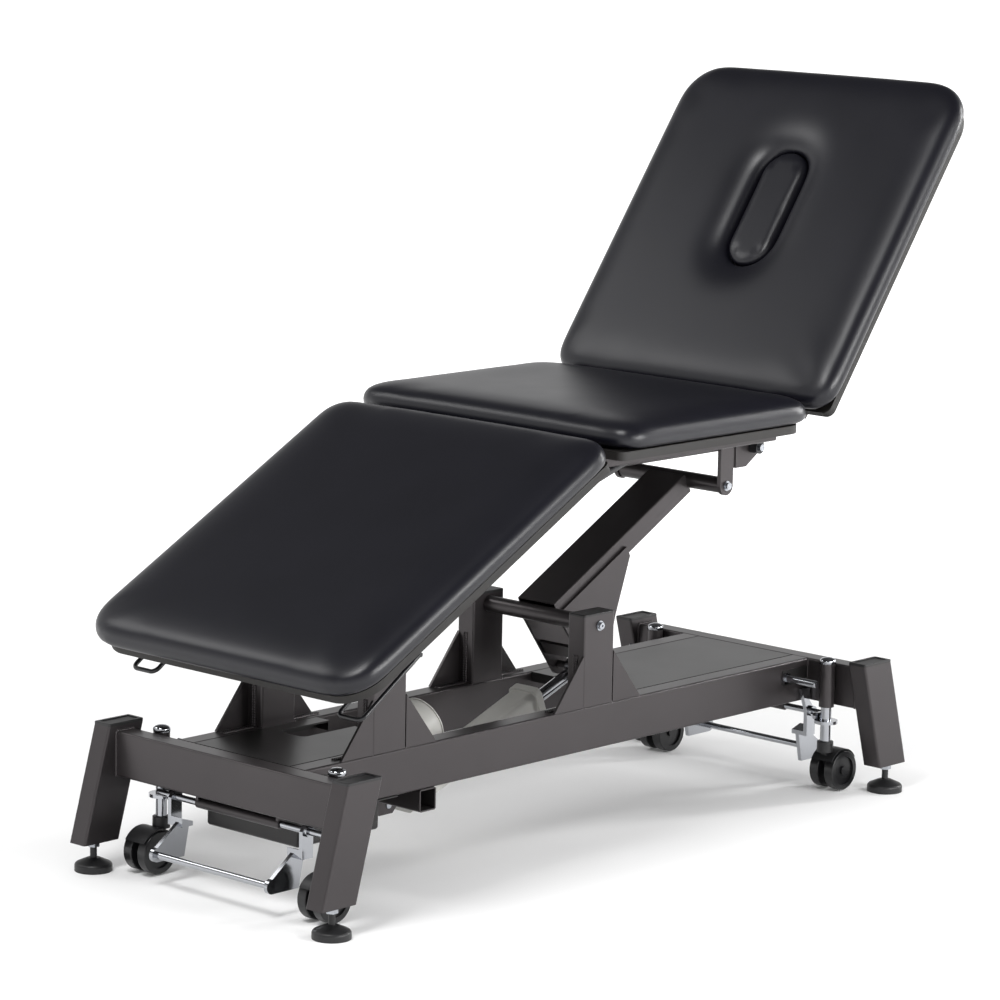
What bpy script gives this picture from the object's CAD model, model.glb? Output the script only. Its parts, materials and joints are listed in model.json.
"""Treatment table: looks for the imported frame.

The frame's own solids keep their shape and get finishes. The three cushions and the
plug of the face opening are padded covers swollen by cloth simulation. Weld beads
are rippled tubes carried along the joints of the steelwork, and bright domes cap the
castor sleeves. Metres, +X towards the head end, +Z up.
"""

import json
import logging
import math
from dataclasses import dataclass
from enum import Enum
from typing import Any, Sequence

import bmesh
import bpy
import numpy as np
from mathutils import Matrix, Vector


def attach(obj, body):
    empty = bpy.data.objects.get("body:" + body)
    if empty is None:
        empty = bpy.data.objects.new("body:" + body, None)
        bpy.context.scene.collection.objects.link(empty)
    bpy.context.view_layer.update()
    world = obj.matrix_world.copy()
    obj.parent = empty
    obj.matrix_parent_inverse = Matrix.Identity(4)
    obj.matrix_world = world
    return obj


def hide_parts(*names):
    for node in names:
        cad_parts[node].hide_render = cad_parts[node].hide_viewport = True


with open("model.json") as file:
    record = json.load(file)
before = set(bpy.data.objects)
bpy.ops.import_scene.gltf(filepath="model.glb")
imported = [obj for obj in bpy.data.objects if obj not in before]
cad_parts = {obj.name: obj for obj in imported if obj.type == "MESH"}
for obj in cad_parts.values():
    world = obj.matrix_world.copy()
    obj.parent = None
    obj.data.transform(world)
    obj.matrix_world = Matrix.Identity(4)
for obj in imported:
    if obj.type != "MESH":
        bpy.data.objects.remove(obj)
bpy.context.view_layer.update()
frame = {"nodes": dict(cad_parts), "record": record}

log = logging.getLogger("treatment_table")

MM = 0.001
# The steelwork's places along X are counted from the middle of the base.
BASE_MIDDLE = -62.910787881739 * MM

# A weld bead's mesh: sides, rings for each ripple and at least, the rise of a path
# past which it counts as steep, and the share of the radius left at its ends.
TUBE_SIDES = 8
RINGS_PER_RIPPLE = 4
LEAST_RINGS = 4
STEEP = 0.9
END_SHARE = 0.05

# Socket places of a Mix node, by what it mixes.
MIX_FLOAT_A, MIX_FLOAT_B = 2, 3
MIX_COLOUR_A, MIX_COLOUR_B = 6, 7
MIX_COLOUR_RESULT = 2

WHITE = (1.0, 1.0, 1.0, 1.0)

Point = tuple[float, float, float]


class Pattern(Enum):
    """How a finish breaks up its surface."""

    ORANGE_PEEL = "orange peel"
    LEATHER_GRAIN = "leather grain"
    MOULD_SPARK = "spark-eroded mould"
    DRAWN = "drawn along one way"
    WOOD = "wood grain"


def linear(hex_colour: str) -> tuple[float, float, float, float]:
    """Turn an sRGB hex colour to linear RGBA.

    The sRGB curve is c / 12.92 up to 0.04045, and ((c + 0.055) / 1.055)^2.4 above.

    Args:
        hex_colour: Six hex digits after a hash.

    Returns:
        Red, green, blue and an alpha of one.
    """
    parts = [int(hex_colour[i : i + 2], 16) / 255 for i in (1, 3, 5)]
    red, green, blue = (
        c / 12.92 if c <= 0.04045 else ((c + 0.055) / 1.055) ** 2.4 for c in parts
    )
    return red, green, blue, 1.0


def add_node(
    tree: bpy.types.NodeTree,
    kind: str,
    settings: dict[str, Any] | None = None,
    links: dict[str, bpy.types.NodeSocket] | None = None,
) -> bpy.types.Node:
    """Add one shader node.

    Args:
        tree: Node tree that gets the node.
        kind: Node type name.
        settings: Socket values by socket name, or node properties by name.
        links: Sockets that feed the node's inputs, by input name.

    Returns:
        The new node.
    """
    node = tree.nodes.new(kind)
    for name, value in (settings or {}).items():
        if hasattr(node, name):
            setattr(node, name, value)
        else:
            node.inputs[name].default_value = value
    for name, socket in (links or {}).items():
        tree.links.new(socket, node.inputs[name])
    return node


@dataclass(frozen=True)
class Finish:
    """A real material and how its surface was made.

    The pattern is noise on Object coordinates: it mixes the colour with its
    shade, moves the roughness about its middle and drives a bump.
    """

    name: str
    colour: str
    shade: str
    metallic: float
    roughness: float
    roughness_spread: float
    pattern: Pattern
    grain_mm: float
    relief_mm: float
    cloud_mm: float = 60.0
    specular: float = 0.5
    bump_strength: float = 0.6

    def material(self) -> bpy.types.Material:
        """Build the finish's material once and return it."""
        known = bpy.data.materials.get(self.name)
        if known is not None:
            return known
        made = bpy.data.materials.new(self.name)
        made.use_nodes = True
        tree = made.node_tree
        tree.nodes.clear()
        place = add_node(tree, "ShaderNodeTexCoord").outputs["Object"]
        stretch = {
            Pattern.DRAWN: (1.0, 1.0, 0.06),
            Pattern.WOOD: (0.08, 1.0, 1.0),
        }.get(self.pattern, (1.0, 1.0, 1.0))
        along = add_node(
            tree, "ShaderNodeMapping", {"Scale": stretch}, {"Vector": place}
        ).outputs["Vector"]
        cloud = add_node(
            tree,
            "ShaderNodeTexNoise",
            {"Scale": 1 / (self.cloud_mm * MM), "Detail": 4.0, "Roughness": 0.55},
            {"Vector": along},
        ).outputs["Fac"]
        if self.pattern is Pattern.LEATHER_GRAIN:
            grain = add_node(
                tree,
                "ShaderNodeTexVoronoi",
                {"Scale": 1 / (self.grain_mm * MM), "feature": "SMOOTH_F1"},
                {"Vector": along},
            ).outputs["Distance"]
        else:
            grain = add_node(
                tree,
                "ShaderNodeTexNoise",
                {"Scale": 1 / (self.grain_mm * MM), "Detail": 2.0},
                {"Vector": along},
            ).outputs["Fac"]
        mix = add_node(tree, "ShaderNodeMix", {"data_type": "RGBA"}, {"Factor": cloud})
        mix.inputs[MIX_COLOUR_A].default_value = linear(self.colour)
        mix.inputs[MIX_COLOUR_B].default_value = linear(self.shade)
        rough = add_node(
            tree,
            "ShaderNodeMapRange",
            {
                "To Min": self.roughness - self.roughness_spread,
                "To Max": self.roughness + self.roughness_spread,
            },
            {"Value": cloud},
        ).outputs["Result"]
        bump = add_node(
            tree,
            "ShaderNodeBump",
            {"Strength": self.bump_strength, "Distance": self.relief_mm * MM},
            {"Height": grain},
        ).outputs["Normal"]
        surface = add_node(
            tree,
            "ShaderNodeBsdfPrincipled",
            {"Metallic": self.metallic, "Specular IOR Level": self.specular},
            {
                "Base Color": mix.outputs[MIX_COLOUR_RESULT],
                "Roughness": rough,
                "Normal": bump,
            },
        )
        add_node(tree, "ShaderNodeOutputMaterial", links={"Surface": surface.outputs[0]})
        return made


# Polyester powder coat with metal flake, sprayed and baked: a satin charcoal with
# a faint orange peel. The peel is drawn at 4 mm, coarser than life, so that it shows.
POWDER_COAT = Finish(
    "charcoal_metallic_powder_coat", "#464243", "#3d3a3b", 0.6, 0.34, 0.03,
    Pattern.ORANGE_PEEL, 4.0, 0.03, cloud_mm=180.0,
)
# The same coat on folded sheet: flatter light, a little darker.
SHEET_COAT = Finish(
    "charcoal_powder_coated_sheet_steel", "#353434", "#2e2d2d", 0.5, 0.36, 0.03,
    Pattern.ORANGE_PEEL, 4.0, 0.03, cloud_mm=200.0,
)
# Black air-dried enamel on struts and wire: darker and smoother than the coat.
BLACK_ENAMEL = Finish(
    "black_enamel", "#17171a", "#1e1e21", 0.0, 0.3, 0.04, Pattern.ORANGE_PEEL, 5.0, 0.02,
)
# PVC-coated upholstery cloth, embossed: satin black with a soft broad sheen. The
# grain is drawn at 3 mm, coarser than the real emboss, so that it shows.
BLACK_VINYL = Finish(
    "embossed_pvc_upholstery_vinyl", "#0c0c13", "#101019", 0.0, 0.36, 0.03,
    Pattern.LEATHER_GRAIN, 3.0, 0.05, cloud_mm=120.0, specular=0.45,
)
# Bright chrome plate on polished steel: mirror-like, with slight polishing haze.
CHROME = Finish(
    "bright_chrome_plate", "#b4b6ba", "#a3a5aa", 1.0, 0.14, 0.03, Pattern.DRAWN, 3.0, 0.003,
)
# Blue-passivated zinc plate on bolts and nuts: pale grey and a little cloudy.
ZINC = Finish(
    "blue_passivated_zinc_plate", "#b5b8bc", "#9ea1a8", 1.0, 0.28, 0.07,
    Pattern.MOULD_SPARK, 2.0, 0.01, cloud_mm=8.0,
)
# Nylon moulded against a spark-eroded face: black, dull, with a fine tooth.
BLACK_NYLON = Finish(
    "moulded_black_nylon", "#151516", "#1b1b1d", 0.0, 0.46, 0.05,
    Pattern.MOULD_SPARK, 1.5, 0.03,
)
# Castor wheels of moulded polyurethane over nylon: black with a soft gloss.
WHEEL_TREAD = Finish(
    "moulded_black_polyurethane", "#121213", "#18181a", 0.0, 0.3, 0.06,
    Pattern.MOULD_SPARK, 3.0, 0.02,
)
# ABS housing of the lift actuator, moulded light warm grey with a low gloss.
GREY_ABS = Finish(
    "moulded_light_grey_abs", "#c6c5c0", "#bbbab6", 0.0, 0.38, 0.04,
    Pattern.MOULD_SPARK, 2.5, 0.02,
)
# Glass-filled nylon gear case: dark grey, slightly mottled by the filler.
DARK_NYLON = Finish(
    "glass_filled_dark_nylon", "#2b2b2e", "#353539", 0.0, 0.44, 0.05,
    Pattern.MOULD_SPARK, 2.0, 0.03,
)
# Birch plywood stained black under the covers: grain shows as streaks.
STAINED_PLY = Finish(
    "black_stained_birch_plywood", "#100e0d", "#191613", 0.0, 0.6, 0.08,
    Pattern.WOOD, 6.0, 0.05, cloud_mm=25.0,
)

FINISH_OF_SLOT: dict[str, Finish] = {
    "frame_coat": POWDER_COAT,
    "cover_sheet": SHEET_COAT,
    "black_paint": BLACK_ENAMEL,
    "black_vinyl": BLACK_VINYL,
    "chrome_steel": CHROME,
    "zinc_steel": ZINC,
    "black_plastic": BLACK_NYLON,
    "wheel_tread": WHEEL_TREAD,
    "actuator_plastic": GREY_ABS,
    "dark_plastic": DARK_NYLON,
    "plywood": STAINED_PLY,
}


def new_object(name: str, mesh: bpy.types.Mesh, finish: Finish) -> bpy.types.Object:
    """Link a mesh as an object with one finish and smooth faces.

    Args:
        name: Name of the piece.
        mesh: Its mesh, already in place.
        finish: Its finish.

    Returns:
        The linked object.
    """
    mesh.materials.clear()
    mesh.materials.append(finish.material())
    mesh.polygons.foreach_set("use_smooth", np.ones(len(mesh.polygons), dtype=bool))
    piece = bpy.data.objects.new(name, mesh)
    bpy.context.scene.collection.objects.link(piece)
    return piece


def corners_of(mesh: bpy.types.Mesh) -> np.ndarray:
    """Return a mesh's points as rows of x, y, z."""
    flat = np.empty(len(mesh.vertices) * 3, dtype=np.float64)
    mesh.vertices.foreach_get("co", flat)
    return flat.reshape(-1, 3)


def set_corners(mesh: bpy.types.Mesh, points: np.ndarray) -> None:
    """Move a mesh's points to rows of x, y, z.

    Args:
        mesh: The mesh whose points move.
        points: One row for each of its points.
    """
    mesh.vertices.foreach_set("co", np.ascontiguousarray(points, dtype=np.float32).ravel())
    mesh.update()


def skinned(name: str, stacks: Sequence[np.ndarray]) -> bpy.types.Mesh:
    """Skin stacks of rings and close both ends of each stack.

    Args:
        name: Name of the mesh.
        stacks: Arrays of points, counted by ring and by place round the ring.

    Returns:
        The mesh of all the stacks.
    """
    faces, base = [], 0
    for stack in stacks:
        count, around = stack.shape[:2]
        i, j = np.meshgrid(np.arange(count - 1), np.arange(around), indexing="ij")
        k = (j + 1) % around
        quads = np.stack(
            [i * around + j, i * around + k, (i + 1) * around + k, (i + 1) * around + j],
            axis=-1,
        )
        faces.extend((quads.reshape(-1, 4) + base).tolist())
        faces.append([base + a for a in range(around)][::-1])
        faces.append([base + (count - 1) * around + a for a in range(around)])
        base += count * around
    mesh = bpy.data.meshes.new(name)
    points = np.concatenate([stack.reshape(-1, 3) for stack in stacks])
    mesh.from_pydata(points.tolist(), [], faces)
    return mesh


def tube_mesh(
    name: str, paths: Sequence[np.ndarray], radius: float, ripple: float, pitch: float
) -> bpy.types.Mesh:
    """Carry a rippled round profile along each path and close both ends.

    Point (i, j) is path(i) + r(i)·(cos t(j)·side + sin t(j)·rise), where r is the
    radius plus a sine ripple of the distance run, and side and rise are square to
    the path. The radius falls to a small share at both ends.

    Args:
        name: Name of the mesh.
        paths: Rows of points, one array for each path.
        radius: Middle radius of the profile.
        ripple: Height of the ripple.
        pitch: Length of one ripple.

    Returns:
        The mesh of all the tubes.
    """
    angles = np.linspace(0, 2 * np.pi, TUBE_SIDES, endpoint=False)
    stacks = []
    for path in paths:
        steps = np.linalg.norm(np.diff(path, axis=0), axis=1)
        run = np.concatenate([[0.0], np.cumsum(steps)])
        count = max(LEAST_RINGS, int(run[-1] / (pitch / RINGS_PER_RIPPLE)))
        at = np.linspace(0, run[-1], count)
        line = np.stack([np.interp(at, run, path[:, k]) for k in range(3)], axis=1)
        ahead = np.gradient(line, axis=0)
        ahead /= np.linalg.norm(ahead, axis=1, keepdims=True)
        steep = np.abs(ahead[:, 2:3]) >= STEEP
        helper = np.where(steep, np.array([[1.0, 0.0, 0.0]]), np.array([[0.0, 0.0, 1.0]]))
        side = np.cross(ahead, helper)
        side /= np.linalg.norm(side, axis=1, keepdims=True)
        rise = np.cross(side, ahead)
        size = radius + ripple * np.sin(2 * np.pi * at / pitch)
        size[0] = size[-1] = radius * END_SHARE
        ring = (
            np.cos(angles)[None, :, None] * side[:, None, :]
            + np.sin(angles)[None, :, None] * rise[:, None, :]
        )
        stacks.append(line[:, None, :] + size[:, None, None] * ring)
    mesh = skinned(name, stacks)
    turned = bmesh.new()
    turned.from_mesh(mesh)
    bmesh.ops.recalc_face_normals(turned, faces=turned.faces)
    turned.to_mesh(mesh)
    turned.free()
    return mesh


@dataclass
class Cushion:
    """A foam pad in a tight vinyl cover, swollen from its solid by cloth simulation."""

    node: str
    body: str
    hinge_x: float
    hinge_z: float
    tilt_deg: float
    voxel: float = 7 * MM
    swell: float = 4 * MM
    pinned_height: float = 12 * MM
    pressure: float = 4.0
    last_frame: int = 20
    smoothing_rounds: int = 60
    slot_middle: float = 0.0
    slot_half_length: float = 126 * MM
    slot_half_width: float = 52.5 * MM
    dish_depth: float = 0.0
    dish_spread: float = 30 * MM
    weld_distance: float = 0.01 * MM
    cloth_quality: int = 5
    least_move: float = 1e-9
    evening: float = 0.5
    foam_fill: float = 0.95

    def levelled(self, points: np.ndarray, back: bool = False) -> np.ndarray:
        """Turn points about the section's hinge so that the pad lies level, or back.

        Args:
            points: Rows of x, y, z.
            back: Turn from level to the section's own tilt.

        Returns:
            The turned rows.
        """
        turn = math.radians(self.tilt_deg if back else -self.tilt_deg)
        x, z = points[:, 0] - self.hinge_x, points[:, 2] - self.hinge_z
        turned = points.copy()
        turned[:, 0] = self.hinge_x + x * math.cos(turn) - z * math.sin(turn)
        turned[:, 2] = self.hinge_z + x * math.sin(turn) + z * math.cos(turn)
        return turned

    def welded_copy(self) -> bpy.types.Object:
        """Return a level copy of the pad's solid with its loose triangles joined."""
        mesh = frame["nodes"][self.node].data.copy()
        set_corners(mesh, self.levelled(corners_of(mesh)))
        joined = bmesh.new()
        joined.from_mesh(mesh)
        bmesh.ops.remove_doubles(joined, verts=joined.verts, dist=self.weld_distance)
        joined.to_mesh(mesh)
        joined.free()
        return new_object(f"{self.node}_cover", mesh, BLACK_VINYL)

    def apply(self, piece: bpy.types.Object) -> None:
        """Make what the piece's modifiers give its own mesh, and clear them."""
        graph = bpy.context.evaluated_depsgraph_get()
        shown = bpy.data.meshes.new_from_object(piece.evaluated_get(graph))
        piece.modifiers.clear()
        piece.data = shown

    def remeshed(self, piece: bpy.types.Object) -> None:
        """Give the piece even faces of the voxel size."""
        remesh = piece.modifiers.new("even_faces", "REMESH")
        remesh.mode = "VOXEL"
        remesh.voxel_size = self.voxel
        remesh.use_smooth_shade = True
        self.apply(piece)

    def swollen(self, piece: bpy.types.Object) -> None:
        """Blow the cover up with its underside held, then cap how far it moved.

        The move of a point is d·tanh(m/d)/m times itself, with m its length and d
        the cap, so that small moves stay and large ones close in on the cap.
        """
        before = corners_of(piece.data)
        low = before[:, 2] < before[:, 2].min() + self.pinned_height
        held = piece.vertex_groups.new(name="held")
        held.add(np.nonzero(low)[0].tolist(), 1.0, "REPLACE")
        cloth = piece.modifiers.new("cover", "CLOTH")
        cloth.settings.use_pressure = True
        cloth.settings.uniform_pressure_force = self.pressure
        cloth.settings.vertex_group_mass = "held"
        cloth.settings.effector_weights.gravity = 0.0
        cloth.settings.quality = self.cloth_quality
        cloth.point_cache.frame_start = 1
        cloth.point_cache.frame_end = self.last_frame
        scene = bpy.context.scene
        for number in range(1, self.last_frame + 1):
            scene.frame_set(number)
        self.apply(piece)
        piece.vertex_groups.clear()
        moved = corners_of(piece.data) - before
        length = np.linalg.norm(moved, axis=1, keepdims=True)
        length = np.maximum(length, self.least_move)
        moved *= self.swell * np.tanh(length / self.swell) / length
        set_corners(piece.data, before + moved)
        scene.frame_set(1)

    def dished(self, piece: bpy.types.Object) -> None:
        """Let the top sink towards the face opening, as the cover is pulled in there.

        The drop is the depth times exp(-(g/s)^2) times the height share squared,
        where g is the distance outside the opening's outline and s the spread.
        """
        points = corners_of(piece.data)
        straight = self.slot_half_length - self.slot_half_width
        along = points[:, 0] - (self.hinge_x + self.slot_middle)
        beyond = np.maximum(np.abs(along) - straight, 0.0)
        gap = np.maximum(np.hypot(beyond, points[:, 1]) - self.slot_half_width, 0.0)
        low, high = points[:, 2].min(), points[:, 2].max()
        share = np.clip((points[:, 2] - low) / (high - low), 0.0, 1.0) ** 2
        points[:, 2] -= self.dish_depth * np.exp(-((gap / self.dish_spread) ** 2)) * share
        set_corners(piece.data, points)

    def smoothed(self, piece: bpy.types.Object) -> None:
        """Even out the cover, divide its faces once and fill its box again."""
        smooth = piece.modifiers.new("even_out", "SMOOTH")
        smooth.factor = self.evening
        smooth.iterations = self.smoothing_rounds
        divide = piece.modifiers.new("divide", "SUBSURF")
        divide.levels = divide.render_levels = 1
        self.apply(piece)
        self.filled_out(piece)

    def filled_out(self, piece: bpy.types.Object) -> None:
        """Stretch the evened cover back to its solid's box, which smoothing shrinks.

        A point is low + (p - l)·(high - low)/(h - l) along each way, with l and h
        the cover's own ends and low and high those of the solid.
        """
        points = corners_of(piece.data)
        solid = self.levelled(corners_of(frame["nodes"][self.node].data))
        low, high = solid.min(axis=0), solid.max(axis=0)
        own_low, own_high = points.min(axis=0), points.max(axis=0)
        points = low + (points - own_low) * (high - low) / (own_high - own_low)
        set_corners(piece.data, points)

    def build(self) -> bpy.types.Object:
        """Make the cover, put it in place and return it."""
        piece = self.welded_copy()
        self.remeshed(piece)
        self.swollen(piece)
        if self.dish_depth:
            self.dished(piece)
        self.smoothed(piece)
        set_corners(piece.data, self.levelled(corners_of(piece.data), back=True))
        piece.data.polygons.foreach_set(
            "use_smooth", np.ones(len(piece.data.polygons), dtype=bool)
        )
        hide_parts(self.node)
        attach(piece, self.body)
        return piece


@dataclass
class Welds:
    """Fillet weld beads of the steelwork, one piece for each body."""

    radius: float = 2.6 * MM
    ripple: float = 0.35 * MM
    pitch: float = 4.5 * MM
    beam_inner: float = 665 * MM
    beam_outer: float = 705 * MM
    beam_low: float = 165 * MM
    beam_high: float = 245 * MM
    leg_inner: float = 270 * MM
    rail_inner: float = 115 * MM
    rail_outer: float = 155 * MM
    post_half: float = 40 * MM
    post_middles: tuple[float, float] = (65 * MM, -467 * MM)
    gusset_reach: float = 75 * MM
    gusset_high: float = 339 * MM
    gusset_half: float = 2.5 * MM
    pivot_z: float = 390 * MM
    arm_angle: float = 29.05
    arm_length: float = 427.3 * MM
    arm_half_width: float = 43 * MM
    arm_half_depth: float = 17.5 * MM
    tube_radius: float = 14 * MM

    def line(self, *points: Point) -> np.ndarray:
        """Return a path's rows through points given from the base's middle."""
        return np.array([(BASE_MIDDLE + x, y, z) for x, y, z in points])

    def base_paths(self) -> list[np.ndarray]:
        """Paths of the beads where beams, rails, posts and gussets meet."""
        low, high = self.beam_low, self.beam_high
        paths = []
        for end in (1, -1):
            inner, outer = end * self.beam_inner, end * self.beam_outer
            for side in (1, -1):
                y = side * self.leg_inner
                for x in (inner, outer):
                    paths.append(self.line((x, y, low), (x, y, high)))
                paths.append(self.line((inner, y, high), (outer, y, high)))
                for y in (side * self.rail_inner, side * self.rail_outer):
                    paths.append(self.line((inner, y, low), (inner, y, high)))
        for middle in self.post_middles:
            for side in (1, -1):
                near, far = side * self.rail_inner, side * self.rail_outer
                mid = (near + far) / 2
                for way in (1, -1):
                    x = middle + way * self.post_half
                    toe = x + way * self.gusset_reach
                    paths.append(self.line((x, near, high), (x, far, high)))
                    for face in (1, -1):
                        y = mid + face * self.gusset_half
                        top = (x, y, self.gusset_high)
                        paths.append(self.line(top, (x, y, high), (toe, y, high)))
        return paths

    def arm_paths(self, pivot_x: float) -> list[np.ndarray]:
        """Paths of the beads where a lift arm's wide faces meet its two pivot tubes.

        Args:
            pivot_x: Place of the arm's lower pivot along X.

        Returns:
            Straight paths across the arm.
        """
        turn = math.radians(self.arm_angle)
        paths = []
        for along in (self.tube_radius, self.arm_length - self.tube_radius):
            for lift in (self.arm_half_depth, -self.arm_half_depth):
                x = pivot_x + along * math.cos(turn) - lift * math.sin(turn)
                z = self.pivot_z + along * math.sin(turn) + lift * math.cos(turn)
                half = self.arm_half_width
                paths.append(self.line((x, -half, z), (x, half, z)))
        return paths

    def build(self) -> list[bpy.types.Object]:
        """Make each body's beads and return the pieces."""
        pieces = []
        head, foot = self.post_middles
        runs = (
            ("base", self.base_paths()),
            ("head_lift_arm", self.arm_paths(head)),
            ("foot_lift_arm", self.arm_paths(foot)),
        )
        for body, paths in runs:
            mesh = tube_mesh(f"{body}_welds", paths, self.radius, self.ripple, self.pitch)
            piece = new_object(f"{body}_welds", mesh, POWDER_COAT)
            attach(piece, body)
            pieces.append(piece)
        return pieces


@dataclass
class SleeveCaps:
    """Bright pressed domes that close the tops of the castor sleeves."""

    reach: float = 650.5 * MM
    side: float = 214 * MM
    low: float = 246 * MM
    skirt: float = 4.6 * MM
    radius: float = 15.4 * MM
    rise: float = 7.6 * MM
    around: int = 40
    rings: int = 12
    tip_share: float = 0.002

    def build(self) -> bpy.types.Object:
        """Turn the cap's profile round four upright axes.

        The profile is an upright skirt of radius R, then the arc r = R·cos a,
        z = top of skirt + rise·sin a, with a from nothing to a quarter turn.
        """
        angle = np.linspace(0, np.pi / 2, self.rings)
        radii = np.concatenate([[self.radius], self.radius * np.cos(angle)])
        radii[-1] = self.radius * self.tip_share
        heights = np.concatenate(
            [[self.low], self.low + self.skirt + self.rise * np.sin(angle)]
        )
        turn = np.linspace(0, 2 * np.pi, self.around, endpoint=False)
        disc = np.stack([np.cos(turn), np.sin(turn)], axis=1)
        ring = np.empty((len(radii), self.around, 3))
        ring[:, :, :2] = radii[:, None, None] * disc[None, :, :]
        ring[:, :, 2] = heights[:, None]
        stacks = []
        for end in (1, -1):
            for side in (1, -1):
                place = np.array([BASE_MIDDLE + end * self.reach, side * self.side, 0.0])
                stacks.append(ring + place)
        piece = new_object("sleeve_caps", skinned("sleeve_caps", stacks), CHROME)
        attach(piece, "base")
        return piece


class Steelwork:
    """The frame's own solids, which keep their shape and get a finish."""

    def dress(self) -> int:
        """Give every solid its slot's finish and return how many there were."""
        slots = {s["node"]: s["material_slot"] for s in frame["record"]["subparts"]}
        for name, node in frame["nodes"].items():
            finish = FINISH_OF_SLOT[slots[name]].material()
            if not node.material_slots:
                node.data.materials.append(finish)
            for holder in node.material_slots:
                holder.material = finish
        return len(frame["nodes"])


@dataclass(frozen=True)
class Lamp:
    """One soft rectangular lamp, sized in metres and powered in watts."""

    name: str
    place: Point
    size: tuple[float, float]
    watts: float

    def hang(self, aim: Point) -> None:
        """Hang the lamp so that it faces a point.

        Args:
            aim: The point that it faces.
        """
        light = bpy.data.lights.new(self.name, "AREA")
        light.shape = "RECTANGLE"
        light.size, light.size_y = self.size
        light.energy = self.watts
        holder = bpy.data.objects.new(self.name, light)
        holder.location = self.place
        ahead = Vector(aim) - Vector(self.place)
        holder.rotation_euler = ahead.to_track_quat("-Z", "Y").to_euler()
        bpy.context.scene.collection.objects.link(holder)


LAMPS = (
    Lamp("left_box", (-2.7, -0.5, 4.3), (1.3, 1.6), 110.0),
    Lamp("front_box", (0.6, -4.2, 1.6), (2.4, 0.7), 125.0),
    Lamp("back_box", (-2.4, 4.0, 4.2), (2.6, 1.5), 55.0),
    Lamp("right_strip", (3.8, -1.6, 1.8), (0.4, 2.0), 70.0),
)


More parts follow.
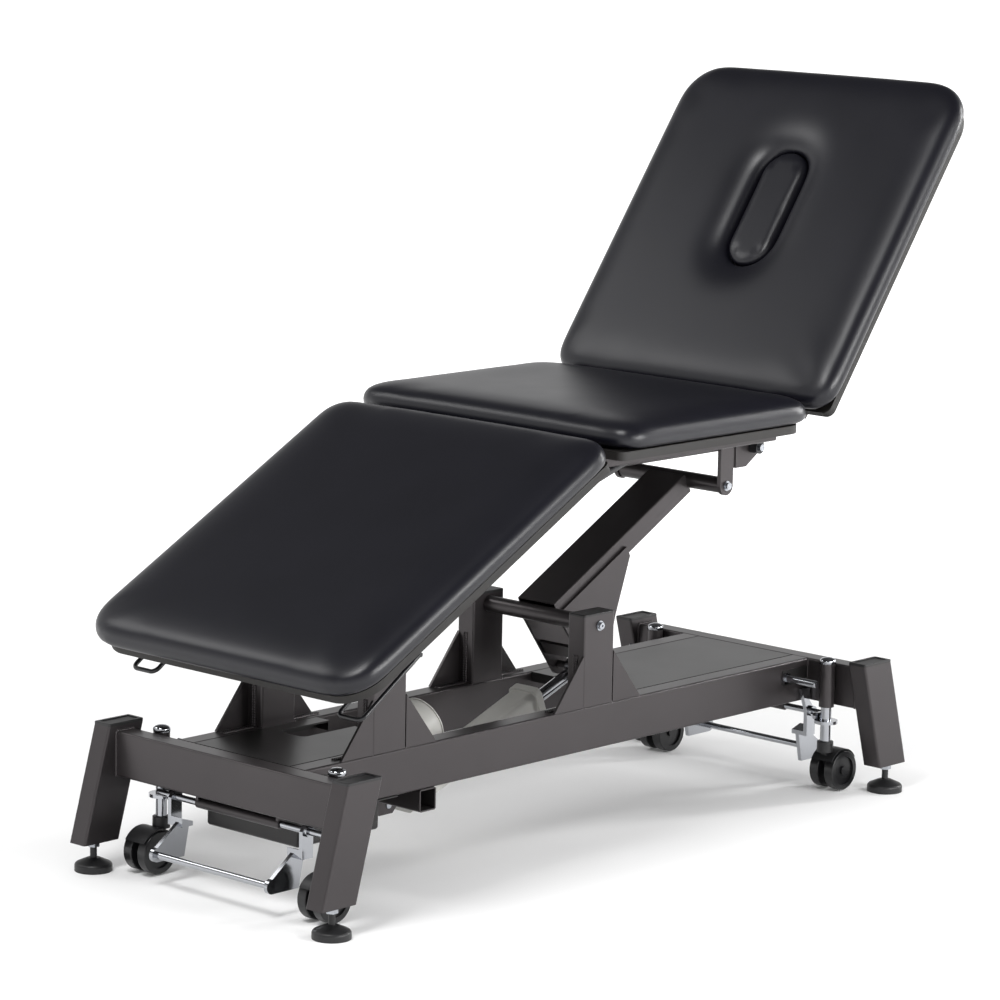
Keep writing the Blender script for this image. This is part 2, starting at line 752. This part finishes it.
@dataclass
class Studio:
    """Pale floor, soft lamps, world and camera."""

    lamp_aim: Point = (0.0, 0.0, 0.6)
    floor_half: float = 60.0
    floor_drop: float = 0.2 * MM
    floor_paint: str = "#f2f2f2"
    floor_glow: float = 0.03
    far_glow: float = 0.75
    glow_from: float = 1.1
    glow_to: float = 3.6
    world_level: float = 0.66
    dusk_from: float = 0.18
    dusk_to: float = 0.55
    dusk_level: float = 0.1
    camera_place: Point = (-5.3933, -4.8889, 1.8609)
    right: Point = (0.6807, -0.7323, 0.0193)
    up: Point = (0.1126, 0.1306, 0.9850)
    ahead: Point = (0.7238, 0.6684, -0.1713)
    lens_mm: float = 147.93
    sensor_mm: float = 36.0
    sight: float = 300.0

    def floor(self) -> None:
        """Lay a pale floor that glows only for what sees it, more so further out."""
        half = self.floor_half
        rows = np.array([[-half, -half], [half, -half], [half, half], [-half, half]])
        corners = np.column_stack([rows, np.full(len(rows), -self.floor_drop)])
        mesh = bpy.data.meshes.new("floor")
        mesh.from_pydata(corners.tolist(), [], [[0, 1, 2, 3]])
        paint = bpy.data.materials.new("white_studio_floor_paint")
        paint.use_nodes = True
        tree = paint.node_tree
        tree.nodes.clear()
        path = add_node(tree, "ShaderNodeLightPath")
        direct = add_node(tree, "ShaderNodeMath", {"operation": "MAXIMUM"})
        tree.links.new(path.outputs["Is Camera Ray"], direct.inputs[0])
        tree.links.new(path.outputs["Is Transmission Ray"], direct.inputs[1])
        both = add_node(tree, "ShaderNodeMath", {"operation": "MAXIMUM"})
        tree.links.new(direct.outputs[0], both.inputs[0])
        tree.links.new(path.outputs["Is Glossy Ray"], both.inputs[1])
        place = add_node(tree, "ShaderNodeTexCoord").outputs["Object"]
        reach = add_node(
            tree, "ShaderNodeVectorMath", {"operation": "LENGTH"}, {"Vector": place}
        ).outputs["Value"]
        spread = add_node(
            tree, "ShaderNodeMapRange",
            {
                "interpolation_type": "SMOOTHSTEP",
                "From Min": self.glow_from, "From Max": self.glow_to,
                "To Min": self.floor_glow, "To Max": self.far_glow,
            },
            {"Value": reach},
        ).outputs["Result"]
        level = add_node(tree, "ShaderNodeMath", {"operation": "MULTIPLY"})
        tree.links.new(both.outputs[0], level.inputs[0])
        tree.links.new(spread, level.inputs[1])
        glow = add_node(
            tree, "ShaderNodeEmission", {"Color": WHITE},
            {"Strength": level.outputs[0]},
        )
        flat = add_node(
            tree, "ShaderNodeBsdfDiffuse", {"Color": linear(self.floor_paint), "Roughness": 0.0}
        )
        total = add_node(tree, "ShaderNodeAddShader")
        tree.links.new(glow.outputs[0], total.inputs[0])
        tree.links.new(flat.outputs[0], total.inputs[1])
        add_node(tree, "ShaderNodeOutputMaterial", links={"Surface": total.outputs[0]})
        mesh.materials.append(paint)
        ground = bpy.data.objects.new("floor", mesh)
        bpy.context.scene.collection.objects.link(ground)

    def world(self) -> None:
        """Light evenly from all round; gloss sees white low down and dusk overhead."""
        world = bpy.data.worlds.new("studio")
        bpy.context.scene.world = world
        world.use_nodes = True
        tree = world.node_tree
        tree.nodes.clear()
        path = add_node(tree, "ShaderNodeLightPath")
        way = add_node(tree, "ShaderNodeTexCoord").outputs["Generated"]
        rise = add_node(tree, "ShaderNodeSeparateXYZ", links={"Vector": way}).outputs["Z"]
        dusk = add_node(
            tree, "ShaderNodeMapRange",
            {
                "interpolation_type": "SMOOTHSTEP",
                "From Min": self.dusk_from, "From Max": self.dusk_to,
                "To Min": 1.0, "To Max": self.dusk_level,
            },
            {"Value": rise},
        ).outputs["Result"]
        gloss = path.outputs["Is Glossy Ray"]
        lit = add_node(tree, "ShaderNodeMix", {"data_type": "FLOAT"}, {"Factor": gloss})
        lit.inputs[MIX_FLOAT_A].default_value = self.world_level
        tree.links.new(dusk, lit.inputs[MIX_FLOAT_B])
        seen = add_node(tree, "ShaderNodeMath", {"operation": "MAXIMUM"})
        tree.links.new(path.outputs["Is Camera Ray"], seen.inputs[0])
        tree.links.new(path.outputs["Is Transmission Ray"], seen.inputs[1])
        level = add_node(
            tree, "ShaderNodeMix", {"data_type": "FLOAT"}, {"Factor": seen.outputs[0]}
        )
        tree.links.new(lit.outputs[0], level.inputs[MIX_FLOAT_A])
        level.inputs[MIX_FLOAT_B].default_value = 1.0
        sky = add_node(
            tree, "ShaderNodeBackground", {"Color": WHITE},
            {"Strength": level.outputs[0]},
        )
        add_node(tree, "ShaderNodeOutputWorld", links={"Surface": sky.outputs[0]})

    def camera(self) -> None:
        """Place the camera by its own right, up and forward directions."""
        lens = bpy.data.cameras.new("camera")
        lens.lens = self.lens_mm
        lens.sensor_width = self.sensor_mm
        lens.sensor_height = self.sensor_mm
        lens.clip_end = self.sight
        holder = bpy.data.objects.new("camera", lens)
        turn = Matrix((self.right, self.up, tuple(-c for c in self.ahead))).transposed()
        holder.matrix_world = Matrix.Translation(self.camera_place) @ turn.to_4x4()
        bpy.context.scene.collection.objects.link(holder)
        bpy.context.scene.camera = holder

    def build(self) -> None:
        """Make the whole studio."""
        self.camera()
        self.floor()
        self.world()
        for lamp in LAMPS:
            lamp.hang(self.lamp_aim)
        bpy.context.scene.view_settings.view_transform = "Standard"


def cushions() -> list[Cushion]:
    """Return the cushions, foot end first, then the plug of the face opening."""
    back_x, back_z = BASE_MIDDLE + 481 * MM, 738 * MM
    return [
        Cushion("leg_cushion", "leg_section", BASE_MIDDLE - 78.7 * MM, 712 * MM, 28.6),
        Cushion("seat_cushion", "seat", 0.0, 0.0, 0.0),
        Cushion(
            "back_cushion", "back_section", back_x, back_z, 54.0,
            slot_middle=404 * MM, dish_depth=11 * MM,
        ),
        Cushion(
            "face_plug", "face_plug", back_x, back_z, 54.0,
            voxel=4 * MM, swell=1.2 * MM, pinned_height=30 * MM, smoothing_rounds=6,
        ),
    ]


def main() -> None:
    """Build everything in order, report it and note both boxes."""
    logging.basicConfig(level=logging.INFO, format="%(message)s")
    Studio().build()
    log.info("finishes on %d solids", Steelwork().dress())
    for pad in cushions():
        piece = pad.build()
        log.info("%s: %d faces", piece.name, len(piece.data.polygons))
    for piece in [*Welds().build(), SleeveCaps().build()]:
        log.info("%s: %d faces", piece.name, len(piece.data.polygons))


if __name__ == "__main__":
    main()
